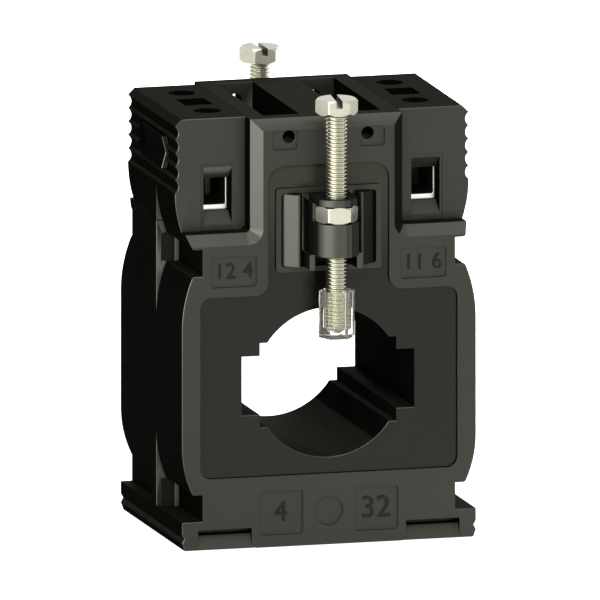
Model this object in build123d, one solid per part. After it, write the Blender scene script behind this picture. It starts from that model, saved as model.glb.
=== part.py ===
from build123d import *

import os
from math import atan2, cos, hypot, pi, radians, sin

# Window-type current transformer. Millimetres.
# X runs across the front, left to right. Y runs from the front (negative) to the rear. Z is up.
# The origin is at the middle of the base, on its underside.

# General
over = 1.0                # overrun of every cut past the face that it opens
wall = 1.8                # moulded wall of the casing
slide_gap = 0.1           # between pieces that slide or drop into each other
turn_gap = 0.03           # radial, round a shaft that turns in a hole

# Window in the casing, from the cable's round opening to the widest bar's slot
window_r = 14.0           # round opening for a cable
step_half_w = 13.0        # opening for the thick bar
step_half_h = 7.9
slot_half_w = 16.45       # opening for the wide bar
slot_half_h = 5.5
sleeve_wall = 1.6         # wall of the sleeve that lines the window inside the casing

# Wound ring round the sleeve, from the inside out
ring_gap = 0.2            # between the taped ring and the casing
tape_t = 0.3              # outer tape
winding_t = 1.1           # secondary winding
wrap_t = 0.4              # insulating wrap on the core
core_build = 2.8          # radial build of the wound strip
core_half_d = 15.4        # half the strip's width, along Y
turn_bundles = 40         # ridges that the winding's turns show outside
turn_groove = 0.35        # depth of the hollows between them

# Casing, along Z
floor_t = 4.0             # plastic under the ring
base_h = 5.3              # foot plate
notch_h = 5.0             # side notches, lower and upper
straight_half_h = 11.0    # straight stretch of the bulged side, above and below the window's middle
upper_notch_rise = 21.0   # from the window's middle to the upper notch
deck_lip_h = 2.5          # from the upper notch to the deck that the covers stand on
tower_h = 21.1            # from the deck to the top

# Casing, along X, as half widths or depths from the side
notch_depth_front = 3.94
notch_depth_rear = 2.15
lip_in = 2.05             # how far the bulge comes in at the notches
deck_lip_in = 1.2         # the same at the deck's edge
tower_half_w = 14.5       # middle tower between the covers
groove_depth = 0.45       # V groove along the foot plate's edge
groove_z = 2.2
groove_half_h = 0.85
toe_in = 0.5              # taper of the foot plate's lower edge

# Casing, along Y, measured from the joint
web_t = 3.42              # joint web, which is all on the front half
gusset_depth = 4.77       # gusset in the front notches, as far as it reaches from the joint
gusset_step = 0.8
gusset_toe = 0.9          # how far it stays inside the side
bevel = 2.0               # 45 degree bevel round the tower and the deck's front edge
tower_root_r = 0.8        # inner corner between tower and deck
corner_r = 0.6            # small outer corners of the outline

# Recessed panel in the front and rear faces
panel_depth = 0.6
panel_half_w = 24.5
panel_below = 17.0        # from the window's middle down to the panel's edge
panel_above = 16.9
panel_r = 2.0
neck_half_w = 11.5
neck_top_below = 8.7      # from the casing's top down to the panel's neck
neck_r = 3.2
neck_root_r = 2.5

# Well for the screw holder
well_half_w = 9.0
well_low_below_deck = 6.5
well_top_over_deck = 7.2
well_rim = 1.0
well_depth = 2.34         # from the front face to the well's floor
well_floor_t = 1.5
well_back_gap = 0.3       # between the well's floor and the ring

# Pockets in the tower's top, and the seal-wire holes in front of them
pocket_in = 4.3
pocket_out = 11.2
pocket_depth = 10.8
pocket_front_t = 4.94     # wall in front of the pockets
pocket_floor_t = 1.5
beam_core_half_w = 2.5
seal_x = 7.5
seal_below_top = 3.3
seal_r = 1.175
seal_pad_in = 5.9
seal_pad_out = 10.7
seal_pad_h = 3.7
seal_pad_r = 0.8
mark_depth = 0.45         # marking recesses and seal pads

# Marking recesses
upper_mark_in = 13.65
upper_mark_out = 22.4
upper_mark_low_below_deck = 9.8
upper_mark_h = 5.75
lower_mark_in = 4.9
lower_mark_out = 13.2
lower_mark_z = 2.15
lower_mark_h = 8.2
mark_r = 0.6
disc_r = 2.75

# Foot pockets in the base's front, each with a sloping catch, and the lip between them
foot_in = 14.7
foot_out = 24.9
foot_h = 3.7
foot_catch_h = 2.56
foot_catch_depth = 1.4
foot_slot_depth = 3.4
foot_lip_gap = 0.8
foot_lip_h = 1.2
foot_lip_out = 0.3

# Terminal covers
cover_set_back = 4.94     # from the casing's front face to the cover's end
cover_gap = 0.1           # between the cover and the tower
cover_foot_in = 1.2       # how far the lower edge lies inside the side
rib_pitch = 2.5
rib_count = 5             # hollows between the ribs
rib_depth = 0.65
cover_bevel = 1.25
cover_top_t = 1.5
cover_end_t = 2.3
cover_inner_t = 1.2
cover_outer_t = 1.0       # behind the deepest part of the grip
grip_half_y = 9.5         # smooth grip recess in the ribs
grip_low = 10.4           # its lower edge above the deck
grip_h = 6.0
grip_floor = 0.9          # depth of its floor at the edges
grip_vee = 0.8            # how much deeper its middle is
grip_pad_half_y = 7.0
grip_pad_t = 0.9
cover_fin_h = 6.8         # fin that carries the joint web's line up the cover
tongue_t = 1.0            # locating tongue under the cover's outer wall, in the joint web
tongue_half_y = 1.0
tongue_h = 1.4
tongue_slot_over = 0.2

# Terminals, on a line of their own in each cover
terminal_share = 0.4212   # place of their line between the cover's walls
access_r = 2.5
test_half_w = 2.7         # opening for a test probe
test_half_y = 3.2
entry_pad_half_w = 3.2
entry_pad_h = 12.4
entry_pad_depth = 0.2
entry_half_w = 2.7        # mouth of the wire entry
entry_low = 1.2
entry_top = 11.85
entry_throat_half_w = 2.35
entry_throat_low = 3.5
entry_throat_top = 9.6
entry_land = 0.4          # straight part behind the funnel

# Terminal bar on its post
post_h = 9.7              # from the deck to the bar
post_half_y = 3.3
bar_t = 1.2
bar_end_gap = 0.7         # between the bar's ends and the cover
bar_mid_half_w = 2.5
bar_mid_half_y = 3.3
leg_t = 1.2
leg_half_y = 2.4
leg_below_deck = 4.9
leg_slot_gap = 0.12
leg_bend_r = 0.5

# Rising-cage clamp and its screw
cage_half_w = 2.5
cage_end_gap = 0.3        # between the cage and the cover's end
cage_post_gap = 0.7       # between the cage and the bar's post
cage_t = 0.4
cage_floor_t = 1.1        # the strip's ends lap there
cage_top_t = 1.6
cage_closed_gap = 0.25    # left between the bar and the cage's floor when the cage is at its highest
cage_head_gap = 0.2
cage_bend_r = 0.3
cage_side_gap = 0.1
clamp_travel = 5.0        # how far the screw lifts the cage
clamp_screw_r = 1.5
clamp_tip_gap = 0.05
clamp_head_r = 2.3
clamp_head_h = 1.7
clamp_slot_w = 0.7
clamp_slot_depth = 0.8
clamp_top_gap = 0.08

# Leads from the winding to the bars
lead_r = 0.6
lead_start_deg = 40.0     # from straight up, round the ring
lead_start_y = 9.0
lead_rise = 2.4
lead_bend_r = 0.95
lead_gap = 0.05

# Fixing screws, nuts, holders and caps
screw_out = 5.36          # from the casing's front face to the screw's axis
screw_r = 2.0
screw_length = 40.0
screw_point = 0.5
screw_over_top = 1.7      # underside of the head over the casing's top
hex_flat_r = 3.5          # half the width across flats, head and nut
hex_corner_r = 3.95       # corners are turned down to this
head_h = 2.9
head_slot_w = 1.15
head_slot_depth = 1.35
hex_bevel = 0.45
nut_h = 3.2
nut_gap = 0.08
nut_mouth = 1.5           # how far behind its axis the nut's slot stays open
front_turn_deg = -6.1     # how far the front screw and nut are turned
rear_turn_deg = 0.0
cap_flat_r = 2.95
cap_h = 8.8
cap_end_t = 1.8
cap_cone_h = 0.9
holder_r = 4.1
holder_low_below_deck = 3.55
holder_nut_over_deck = 2.6
holder_collar_t = 1.25
holder_bore_r = 2.2
collar_r = 3.78
cheek_reach = 2.95        # how far the flared cheeks stand out of the panel
cheek_in = 5.6
cheek_root_in = 5.0
cheek_tip_r = 0.7
leg_in = 4.0
leg_out = 5.0
leg_front_short = 0.4

# Derived sizes of the ring and the casing
sleeve_corner_r = hypot(slot_half_w + sleeve_wall, slot_half_h + sleeve_wall)
tape_r_in = sleeve_corner_r + ring_gap
winding_r_in = tape_r_in + tape_t
wrap_r_in = winding_r_in + winding_t
core_r_in = wrap_r_in + wrap_t
core_r_out = core_r_in + core_build
wrap_r_out = core_r_out + wrap_t
winding_r_out = wrap_r_out + winding_t
tape_r_out = winding_r_out + tape_t
wrap_half_d = core_half_d + wrap_t
winding_half_d = wrap_half_d + winding_t
tape_half_d = winding_half_d + tape_t
cavity_r = tape_r_out + ring_gap
case_half_d = tape_half_d + well_back_gap + well_floor_t + well_depth
half_w = cavity_r + wall
window_z = cavity_r + floor_t
upper_notch_z = window_z + upper_notch_rise
deck_z = upper_notch_z + notch_h + deck_lip_h
top_z = deck_z + tower_h
front_notch_x = half_w - notch_depth_front
rear_notch_x = half_w - notch_depth_rear
tower_face_y = case_half_d - bevel
corner_reach = tower_root_r + bevel + over
cavity_half_w = front_notch_x - wall
cavity_low = base_h + sleeve_wall / 2
cavity_top = deck_z - wall
cavity_half_d = case_half_d - wall
tower_cavity_half_w = tower_half_w - wall
pocket_half_y = case_half_d - pocket_front_t
pocket_z = top_z - pocket_depth
well_z0 = deck_z - well_low_below_deck
well_z1 = deck_z + well_top_over_deck
panel_y = case_half_d - panel_depth
well_y = case_half_d - well_depth

# Derived heights in the terminals
bar_z = deck_z + post_h
bar_half_w = cage_half_w - cage_t - cage_side_gap
cover_front_y = case_half_d - cover_set_back
cover_inside_y = cover_front_y - cover_end_t
cover_inner_x = tower_half_w + cover_gap + cover_inner_t
cover_wall_x = half_w - grip_floor - grip_vee - cover_outer_t
terminal_x = cover_inner_x + terminal_share * (cover_wall_x - cover_inner_x)
bar_half_y = cover_inside_y - bar_end_gap
cage_in_y = post_half_y + cage_post_gap
cage_out_y = cover_inside_y - cage_end_gap
clamp_y = (cage_in_y + cage_out_y) / 2
leg_x = terminal_x - bar_mid_half_w
cage_z = bar_z - cage_closed_gap - clamp_travel - cage_floor_t
cage_head_z = bar_z + bar_t + cage_head_gap
cage_top_z = cage_head_z + cage_top_t
clamp_head_z = top_z - cover_top_t - clamp_top_gap - clamp_head_h

# Derived places along the fixing screws
screw_y = case_half_d + screw_out
head_z = top_z + screw_over_top
screw_tip_z = head_z - screw_length
cap_z = screw_tip_z - cap_end_t
nut_z = deck_z + holder_nut_over_deck
holder_z = deck_z - holder_low_below_deck
collar_z = nut_z + nut_h + nut_gap


def span(x0, x1, y0, y1, z0, z1):
    """A block between two corners."""
    block = Box(abs(x1 - x0), abs(y1 - y0), abs(z1 - z0))
    return Pos((x0 + x1) / 2, (y0 + y1) / 2, (z0 + z1) / 2) * block


def along_y(sketch, y0, y1):
    """Extrude a front-view sketch, drawn in X and Z, from y0 to y1."""
    return extrude(Plane.XZ.offset(-y1) * sketch, amount=y1 - y0)


def along_z(sketch, z0, z1):
    """Extrude a plan sketch from z0 to z1."""
    return extrude(Pos(0, 0, z0) * sketch, amount=z1 - z0)


def along_x(sketch, x0, x1):
    """Extrude a side-view sketch, drawn in Y and Z, from x0 to x1."""
    return extrude(Plane.YZ.offset(x0) * sketch, amount=x1 - x0)


def rod(radius, z0, z1, x=0.0, y=0.0):
    """An upright cylinder."""
    return Pos(x, y, (z0 + z1) / 2) * Cylinder(radius, z1 - z0)


def both_sides(shape):
    """A shape and its mirror image across the middle of the front."""
    return shape + mirror(shape, about=Plane.YZ)


def frame_rect(x0, x1, z0, z1, radius):
    """A rounded rectangle in the front view, between two corners."""
    return Pos((x0 + x1) / 2, (z0 + z1) / 2) * RectangleRounded(x1 - x0, z1 - z0, radius)


def ring(r_in, r_out, half_d):
    """A plain ring round the window's axis."""
    return along_y(Pos(0, window_z) * (Circle(r_out) - Circle(r_in)), -half_d, half_d)


def hexagon(flat_r, turn=0.0):
    """A hexagon with a flat that faces the front, before it is turned."""
    return RegularPolygon(flat_r, 6, major_radius=False, rotation=turn)


def window_sketch(grow=0.0):
    """The stepped window, grown outwards by a wall."""
    opening = (
        Circle(window_r + grow)
        + Rectangle(2 * (step_half_w + grow), 2 * (step_half_h + grow))
        + Rectangle(2 * (slot_half_w + grow), 2 * (slot_half_h + grow))
    )
    return Pos(0, window_z) * opening


def arc_to_side(lip, side):
    """An arc from a lip that runs into an upright side without a kink."""
    in_by = side[0] - lip[0]
    radius = (in_by**2 + (side[1] - lip[1]) ** 2) / (2 * in_by)
    centre_x = side[0] - radius
    half_angle = atan2(lip[1] - side[1], lip[0] - centre_x) / 2
    middle = (centre_x + radius * cos(half_angle), side[1] + radius * sin(half_angle))
    return ThreePointArc(lip, middle, side)


def side_outline(notch_x):
    """The casing's front view, without the joint web: foot, notch, bulge, notch, deck and tower."""
    lip_x = half_w - lip_in
    low_z = base_h + notch_h
    right = [
        (0, 0),
        (half_w - toe_in, 0),
        (half_w, groove_z - groove_half_h),
        (half_w - groove_depth, groove_z),
        (half_w, groove_z + groove_half_h),
        (half_w, base_h),
        (notch_x, base_h),
        (notch_x, low_z),
        (lip_x, low_z),
    ]
    upper = [
        (lip_x, upper_notch_z),
        (notch_x, upper_notch_z),
        (notch_x, upper_notch_z + notch_h),
        (lip_x, upper_notch_z + notch_h),
        (half_w - deck_lip_in, deck_z),
        (tower_half_w, deck_z),
        (tower_half_w, top_z),
        (0, top_z),
        (0, 0),
    ]
    bulge_low = (half_w, window_z - straight_half_h)
    bulge_top = (half_w, window_z + straight_half_h)
    edge = Curve() + [
        Polyline(*right),
        arc_to_side(right[-1], bulge_low),
        Line(bulge_low, bulge_top),
        arc_to_side(upper[0], bulge_top),
        Polyline(*upper),
    ]
    face = make_face(edge)
    if half_w - notch_x > lip_in + corner_r:
        rounded = [v for v in face.vertices() if is_round_corner(v, lip_x, low_z)]
        face = fillet(rounded, corner_r)
    root = [v for v in face.vertices() if near(v.X, tower_half_w) and near(v.Y, deck_z)]
    return both_sides(fillet(root, tower_root_r))


def near(a, b):
    """Whether two places on an outline are the same one."""
    return abs(a - b) < turn_gap / 3


def is_round_corner(vertex, lip_x, low_z):
    """The bulge's two corners at the notches, and the one over the upper notch."""
    heights = (low_z, upper_notch_z, upper_notch_z + notch_h)
    return near(vertex.X, lip_x) and any(near(vertex.Y, z) for z in heights)


def web_outline():
    """The joint web: straight sides from the foot plate to the deck."""
    points = [
        (0, base_h - over),
        (half_w, base_h - over),
        (half_w, deck_z),
        (0, deck_z),
    ]
    return both_sides(make_face(Polyline(*points, close=True)))


def notch_gusset(notch_z):
    """The slanted gusset between a front notch's wall and the joint web, on the right."""
    points = [
        (front_notch_x - over, -gusset_depth),
        (front_notch_x + gusset_step, -gusset_depth),
        (half_w - gusset_toe, -web_t),
        (front_notch_x - over, -web_t),
    ]
    return along_z(make_face(Polyline(*points, close=True)), notch_z, notch_z + notch_h)


def panel_sketch():
    """The recessed panel: a wide field round the window, and a neck up the tower."""
    low, high = window_z - panel_below, window_z + panel_above
    top = top_z - neck_top_below
    field = frame_rect(-panel_half_w, panel_half_w, low, high, panel_r)
    neck = Pos(0, (window_z + top) / 2) * Rectangle(2 * neck_half_w, top - window_z)
    sketch = field + neck
    root = [v for v in sketch.vertices() if near(abs(v.X), neck_half_w) and near(v.Y, high)]
    sketch = fillet(root, neck_root_r)
    crown = [v for v in sketch.vertices() if near(abs(v.X), neck_half_w) and near(v.Y, top)]
    return fillet(crown, neck_r)


def foot_pocket():
    """The pocket for a clip-on foot, on the right: a slot over a sloping catch."""
    face = -case_half_d
    catch = [
        (face - over, -over),
        (face, 0),
        (face + foot_catch_depth, foot_catch_h),
        (face + foot_slot_depth, foot_catch_h),
        (face + foot_slot_depth, foot_h),
        (face - over, foot_h),
    ]
    return along_x(make_face(Polyline(*catch, close=True)), foot_in, foot_out)


def foot_lip():
    """The low lip along the base's front edge, between the foot pockets."""
    reach = foot_in - foot_lip_gap
    face = -case_half_d
    points = [(face, 0), (face - foot_lip_out, 0), (face, foot_lip_h)]
    return along_x(make_face(Polyline(*points, close=True)), -reach, reach)


def face_recesses():
    """The panel, the marking recesses and the seal pads, cut into the front face."""
    front = -case_half_d - over
    well_rim_x = well_half_w + well_rim
    rim = frame_rect(-well_rim_x, well_rim_x, well_z0 - well_rim, well_z1 + well_rim, mark_r)
    cuts = along_y(panel_sketch() - rim, front, -panel_y)
    upper_z = deck_z - upper_mark_low_below_deck
    marks = (
        frame_rect(upper_mark_in, upper_mark_out, upper_z, upper_z + upper_mark_h, mark_r)
        + frame_rect(lower_mark_in, lower_mark_out, lower_mark_z, lower_mark_z + lower_mark_h, mark_r)
        + frame_rect(seal_pad_in, seal_pad_out, top_z - bevel - seal_pad_h, top_z - bevel, seal_pad_r)
    )
    disc = Pos(0, lower_mark_z + lower_mark_h / 2) * Circle(disc_r)
    return cuts + along_y(both_sides(marks) + disc, front, mark_depth - case_half_d)


def casing_hollow():
    """What is hollow in a casing half: the ring's chamber and the space under the tower's pockets."""
    middle_z = (cavity_low + cavity_top) / 2
    chamber = Pos(0, middle_z) * Rectangle(2 * cavity_half_w, cavity_top - cavity_low)
    chamber += Pos(0, window_z) * Circle(cavity_r)
    hollow = along_y(chamber, -cavity_half_d, over)
    under_pockets = pocket_z - pocket_floor_t
    hollow += span(-tower_cavity_half_w, tower_cavity_half_w, -pocket_half_y, over,
                   window_z, under_pockets)
    hollow += span(-beam_core_half_w, beam_core_half_w, -pocket_half_y, over, window_z, top_z - wall)
    back_x = well_half_w + well_rim
    boss = span(-back_x, back_x, -case_half_d, -well_y + well_floor_t,
                well_z0 - well_rim, well_z1 + well_rim)
    return hollow - along_y(window_sketch(sleeve_wall), -case_half_d, over + over) - boss


def terminal_seat():
    """The post for the terminal bar on the deck, on the right."""
    leg_outer = leg_x + leg_t + leg_slot_gap
    return span(leg_outer, terminal_x + bar_mid_half_w, -post_half_y, 0, deck_z, bar_z)


def terminal_cuts():
    """The slot in the deck for the bar's leg, on the right."""
    return span(leg_x - leg_slot_gap, leg_x + leg_t + leg_slot_gap,
                -leg_half_y - leg_slot_gap, over, cavity_top - over, deck_z + over)


def tongue_slot():
    """The slot in the joint web for the cover's tongue, on the right."""
    middle = -web_t / 2
    reach = tongue_half_y + slide_gap
    return span(cover_wall_x - slide_gap, cover_wall_x + tongue_t + slide_gap, middle - reach,
                middle + reach, deck_z - tongue_h - tongue_slot_over, deck_z + over)


def beside_tower(y, inwards):
    """The open corner beside the tower and above the deck, at a depth y, grown inwards."""
    rect = frame_rect(
        tower_half_w - inwards, half_w + corner_reach, deck_z - inwards, top_z + corner_reach,
        tower_root_r + inwards)
    return (Plane.XZ.offset(-y) * rect).face()


def bevel_cuts():
    """The 45 degree bevel along the deck's front edge, up the tower's sides and across its top."""
    ends = [beside_tower(-case_half_d - over, bevel + over), beside_tower(-tower_face_y, 0)]
    corner = loft(ends, ruled=True)
    crown = [
        (-case_half_d - over, top_z - bevel - over),
        (over - tower_face_y, top_z + over),
        (-case_half_d - over, top_z + over),
    ]
    top = along_x(make_face(Polyline(*crown, close=True)), -tower_half_w - over, tower_half_w + over)
    return both_sides(corner) + top


def casing_half(notch_x, with_web):
    """One half of the casing, built in front of the joint."""
    body = along_y(side_outline(notch_x), -case_half_d, 0) - bevel_cuts()
    if with_web:
        body += along_y(web_outline(), -web_t, 0)
        body += both_sides(notch_gusset(base_h) + notch_gusset(upper_notch_z))
    body += foot_lip()
    body -= casing_hollow()
    body += both_sides(terminal_seat())
    pocket = span(pocket_in, pocket_out, -pocket_half_y, over, pocket_z, top_z + over)
    seal_z = top_z - seal_below_top
    seal_hole = along_y(Pos(seal_x, seal_z) * Circle(seal_r), -case_half_d - over, over - pocket_half_y)
    body -= both_sides(pocket + seal_hole + terminal_cuts() + foot_pocket())
    if with_web:
        body -= both_sides(tongue_slot())
    body -= along_y(window_sketch(), -case_half_d - over, over)
    body -= face_recesses()
    well = frame_rect(-well_half_w, well_half_w, well_z0, well_z1, mark_r)
    return body - along_y(well, -case_half_d - over, -well_y)


def wound_ring():
    """The core, its wrap, the winding and the tape, each a closed ring round the one before."""
    core = ring(core_r_in, core_r_out, core_half_d)
    wrap = ring(wrap_r_in, wrap_r_out, wrap_half_d) - ring(core_r_in, core_r_out, core_half_d)
    groove_r = pi * winding_r_out / turn_bundles
    grooves = PolarLocations(winding_r_out + groove_r - turn_groove, turn_bundles) * Circle(groove_r)
    turns = Pos(0, window_z) * (Circle(winding_r_out) - Circle(winding_r_in) - grooves)
    winding = along_y(turns, -winding_half_d, winding_half_d) - ring(wrap_r_in, wrap_r_out, wrap_half_d)
    tape = ring(tape_r_in, tape_r_out, tape_half_d) - ring(winding_r_in, winding_r_out, winding_half_d)
    hole = lead_way(lead_r + slide_gap)
    return core, wrap, winding, tape - hole - Rot(0, 0, 180) * hole


def lead_point(radius):
    """A point on the right lead's way out of the ring, at a radius from the window's middle."""
    angle = radians(lead_start_deg)
    return Vector(radius * sin(angle), -lead_start_y, window_z + radius * cos(angle))


def lead_way(radius):
    """A short rod along the right lead's way out of the ring."""
    start = lead_point(winding_r_out - tape_t)
    way = Plane(origin=start, z_dir=lead_point(tape_r_out) - start)
    return extrude(way * Circle(radius), amount=lead_rise)


def lead():
    """The right lead: out of the winding, along the deck's underside and up to the bar's leg."""
    start = lead_point(winding_r_out + lead_gap)
    turn = lead_point(winding_r_out + lead_rise)
    below_leg = Vector(leg_x + leg_t / 2, 0, turn.Z)
    end = Vector(below_leg.X, 0, deck_z - leg_below_deck)
    path = FilletPolyline(start, turn, below_leg, end, radius=lead_bend_r)
    section = Plane(origin=start, z_dir=turn - start) * Circle(lead_r)
    return sweep(section, path=path)


def terminal_bar():
    """The right terminal bar: a strip through both cages, wide in the middle, with a leg to the lead."""
    bar_top = bar_z + bar_t
    bar = span(terminal_x - bar_half_w, terminal_x + bar_half_w, -bar_half_y, bar_half_y, bar_z, bar_top)
    bar += span(leg_x, terminal_x + bar_mid_half_w, -bar_mid_half_y, bar_mid_half_y, bar_z, bar_top)
    bar += span(leg_x, leg_x + leg_t, -leg_half_y, leg_half_y, deck_z - leg_below_deck, bar_top)
    bend = [e for e in bar.edges() if near(e.center().X, leg_x) and near(e.center().Z, bar_top)]
    return fillet(bend, leg_bend_r)


def cage():
    """The front right clamp: a folded cage round the bar, open at its lowest, with a threaded head."""
    middle_z = (cage_z + cage_top_z) / 2
    outside = Pos(terminal_x, middle_z) * RectangleRounded(
        2 * cage_half_w, cage_top_z - cage_z, cage_bend_r + cage_t)
    inside_z = (cage_z + cage_floor_t + cage_head_z) / 2
    inside = Pos(terminal_x, inside_z) * RectangleRounded(
        2 * (cage_half_w - cage_t), cage_head_z - cage_z - cage_floor_t, cage_bend_r)
    strip = along_y(outside - inside, -cage_out_y, -cage_in_y)
    return strip - rod(clamp_screw_r + turn_gap, bar_z, cage_top_z + over, terminal_x, -clamp_y)


def clamp_screw():
    """The front right clamp screw: it stands on the bar and lifts the cage as it turns."""
    foot_z = bar_z + bar_t + clamp_tip_gap
    head_top = clamp_head_z + clamp_head_h
    screw = rod(clamp_screw_r, foot_z, clamp_head_z, terminal_x, -clamp_y)
    screw += rod(clamp_head_r, clamp_head_z, head_top, terminal_x, -clamp_y)
    slot = span(terminal_x - clamp_head_r - over, terminal_x + clamp_head_r + over,
                -clamp_y - clamp_slot_w / 2, -clamp_y + clamp_slot_w / 2,
                head_top - clamp_slot_depth, head_top + over)
    return screw - slot


def cover_outline():
    """The right cover's front view: curved foot, finger ribs, bevel and flat top."""
    inner = tower_half_w + cover_gap
    foot = (half_w - cover_foot_in, deck_z)
    crests = [top_z - cover_bevel - rib_pitch * i for i in range(rib_count, -1, -1)]
    hollows = [
        ThreePointArc((half_w, low), (half_w - rib_depth, (low + high) / 2), (half_w, high))
        for low, high in zip(crests, crests[1:])
    ]
    edge = Curve() + [
        Polyline((inner, deck_z + tower_root_r), (inner + tower_root_r, deck_z), foot),
        arc_to_side(foot, (half_w, crests[0])),
        *hollows,
        Polyline((half_w, crests[-1]), (half_w - cover_bevel, top_z), (inner, top_z),
                 (inner, deck_z + tower_root_r)),
    ]
    return make_face(edge)


def grip_outline(outer, floor):
    """The grip's section between two lines that are bent inwards at mid height."""
    low, high = deck_z + grip_low, deck_z + grip_low + grip_h
    middle = (low + high) / 2
    points = [
        (half_w + outer, low),
        (half_w - floor, low),
        (half_w - floor - grip_vee, middle),
        (half_w - floor, high),
        (half_w + outer, high),
    ]
    return make_face(Polyline(*points, close=True))


def wire_entry():
    """The front wire entry: a shallow pad, a funnel and its throat."""
    pad_y = -cover_front_y + entry_pad_depth
    throat_y = -cover_inside_y - entry_land
    pad = span(terminal_x - entry_pad_half_w, terminal_x + entry_pad_half_w, -cover_front_y - over, pad_y,
               deck_z - over, deck_z + entry_pad_h)
    mouth = rect_at(entry_half_w, deck_z + entry_low, deck_z + entry_top, pad_y)
    throat = rect_at(entry_throat_half_w, deck_z + entry_throat_low, deck_z + entry_throat_top, throat_y)
    land = span(terminal_x - entry_throat_half_w, terminal_x + entry_throat_half_w, throat_y,
                over - cover_inside_y, deck_z + entry_throat_low, deck_z + entry_throat_top)
    return pad + loft([mouth, throat], ruled=True) + land


def rect_at(rect_half_w, low, high, y):
    """An upright rectangle on the terminals' line, at a depth y."""
    rect = Pos(terminal_x, (low + high) / 2) * Rectangle(2 * rect_half_w, high - low)
    return (Plane.XZ.offset(-y) * rect).face()


def terminal_cover():
    """The right terminal cover: a ribbed cap, open below, that pulls straight up."""
    cap = along_y(cover_outline(), -cover_front_y, cover_front_y)
    cap += span(cover_wall_x, half_w, -web_t, 0, deck_z, deck_z + cover_fin_h)
    grip = along_y(grip_outline(over, grip_floor), -grip_half_y, grip_half_y)
    pad = along_y(grip_outline(grip_pad_t - grip_floor, grip_floor), -grip_pad_half_y, grip_pad_half_y)
    vee = along_y(grip_outline(over, grip_floor - grip_pad_t), -grip_pad_half_y, grip_pad_half_y)
    cap = cap - grip + (pad - vee)
    cap -= span(cover_inner_x, cover_wall_x, -cover_inside_y, cover_inside_y,
                deck_z - over, top_z - cover_top_t)
    entry = wire_entry()
    cap -= entry + mirror(entry, about=Plane.XZ)
    roof_z = top_z - cover_top_t - over
    for y in (-clamp_y, clamp_y):
        cap -= rod(access_r, roof_z, top_z + over, terminal_x, y)
    cap -= span(terminal_x - test_half_w, terminal_x + test_half_w, -test_half_y, test_half_y,
                roof_z, top_z + over)
    middle = -web_t / 2
    tongue = span(cover_wall_x, cover_wall_x + tongue_t, middle - tongue_half_y, middle + tongue_half_y,
                  deck_z - tongue_h, deck_z + over)
    return cap + tongue


def turned_hexagon(height, turn):
    """A hexagon whose corners are turned down at both ends, as on a head or a nut."""
    profile = [
        (0, 0),
        (hex_flat_r, 0),
        (hex_corner_r, hex_bevel),
        (hex_corner_r, height - hex_bevel),
        (hex_flat_r, height),
        (0, height),
    ]
    blank = revolve(Plane.XZ * make_face(Polyline(*profile, close=True)), axis=Axis.Z)
    return blank & along_z(hexagon(hex_flat_r, turn), 0, height)


def fixing_screw(turn):
    """A long screw with a slotted hexagon head, on the front screw's axis."""
    shank = rod(screw_r, screw_tip_z, head_z)
    shank = chamfer(shank.edges().sort_by(Axis.Z)[0], screw_point)
    slot = span(-head_slot_w / 2, head_slot_w / 2, -hex_corner_r - over, hex_corner_r + over,
                head_h - head_slot_depth, head_h + over)
    head = turned_hexagon(head_h, turn) - Rot(0, 0, turn) * slot
    return Pos(0, -screw_y) * (shank + Pos(0, 0, head_z) * head)


def nut(turn):
    """The nut that a fixing screw runs in."""
    blank = turned_hexagon(nut_h, turn) - rod(screw_r + turn_gap, -over, nut_h + over)
    return Pos(0, -screw_y, nut_z) * blank


def insulating_cap(turn):
    """The clear hexagon cap on a fixing screw's tip, with a blind bore that ends in a cone."""
    bore_r = screw_r + turn_gap
    cap = along_z(hexagon(cap_flat_r, turn), cap_z, cap_z + cap_h)
    cap -= rod(bore_r, screw_tip_z, cap_z + cap_h + over)
    cap -= Pos(0, 0, screw_tip_z - cap_cone_h / 2) * Cone(screw_point, bore_r, cap_cone_h)
    return Pos(0, -screw_y) * cap


def holder_cheek():
    """The flared cheek on the holder's right, from the well's edge towards the barrel."""
    root_y = -panel_y + slide_gap
    points = [
        (well_half_w - slide_gap, root_y),
        (well_half_w - slide_gap, -panel_y),
        (cheek_in, -panel_y - cheek_reach),
        (cheek_root_in, root_y),
    ]
    plan = make_face(Polyline(*points, close=True))
    tip = plan.vertices().sort_by(Axis.Y)[0]
    return along_z(fillet(tip, cheek_tip_r), well_z0 + slide_gap, well_z1 - slide_gap)


def barrel_plan(radius):
    """The holder's barrel in plan: a half round with straight sides back to the panel."""
    depth = screw_y - panel_y
    straight = Pos(0, depth / 2 - screw_y) * Rectangle(2 * radius, depth)
    return Pos(0, -screw_y) * Circle(radius) + straight


def screw_holder(turn):
    """The front screw holder: a plate in the well, two cheeks, and a barrel with a slot for the nut."""
    foot_z = well_z0 + slide_gap
    plate_half_w = well_half_w - slide_gap
    plate = frame_rect(-plate_half_w, plate_half_w, foot_z, well_z1 - slide_gap, mark_r)
    holder = along_y(plate, -panel_y, -well_y) + both_sides(holder_cheek())
    holder += along_z(barrel_plan(holder_r), holder_z, nut_z)
    behind_nut = barrel_plan(holder_r) - Pos(0, -screw_y) * hexagon(hex_flat_r + nut_gap, turn)
    mouth_half_d = holder_r + over
    mouth = Pos(0, nut_mouth - screw_y - mouth_half_d) * Rectangle(2 * mouth_half_d, 2 * mouth_half_d)
    holder += along_z(behind_nut - mouth, nut_z, collar_z)
    holder += along_z(barrel_plan(collar_r), collar_z, collar_z + holder_collar_t)
    leg_front = leg_front_short - screw_y
    holder += both_sides(span(leg_in, leg_out, leg_front, -panel_y, foot_z, holder_z))
    return holder - rod(holder_bore_r, foot_z - over, collar_z + holder_collar_t + over, 0, -screw_y)


def to_left(shape):
    """The mirror image on the left side."""
    return mirror(shape, about=Plane.YZ)


def to_rear(shape):
    """The mirror image behind the joint."""
    return mirror(shape, about=Plane.XZ)


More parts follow.
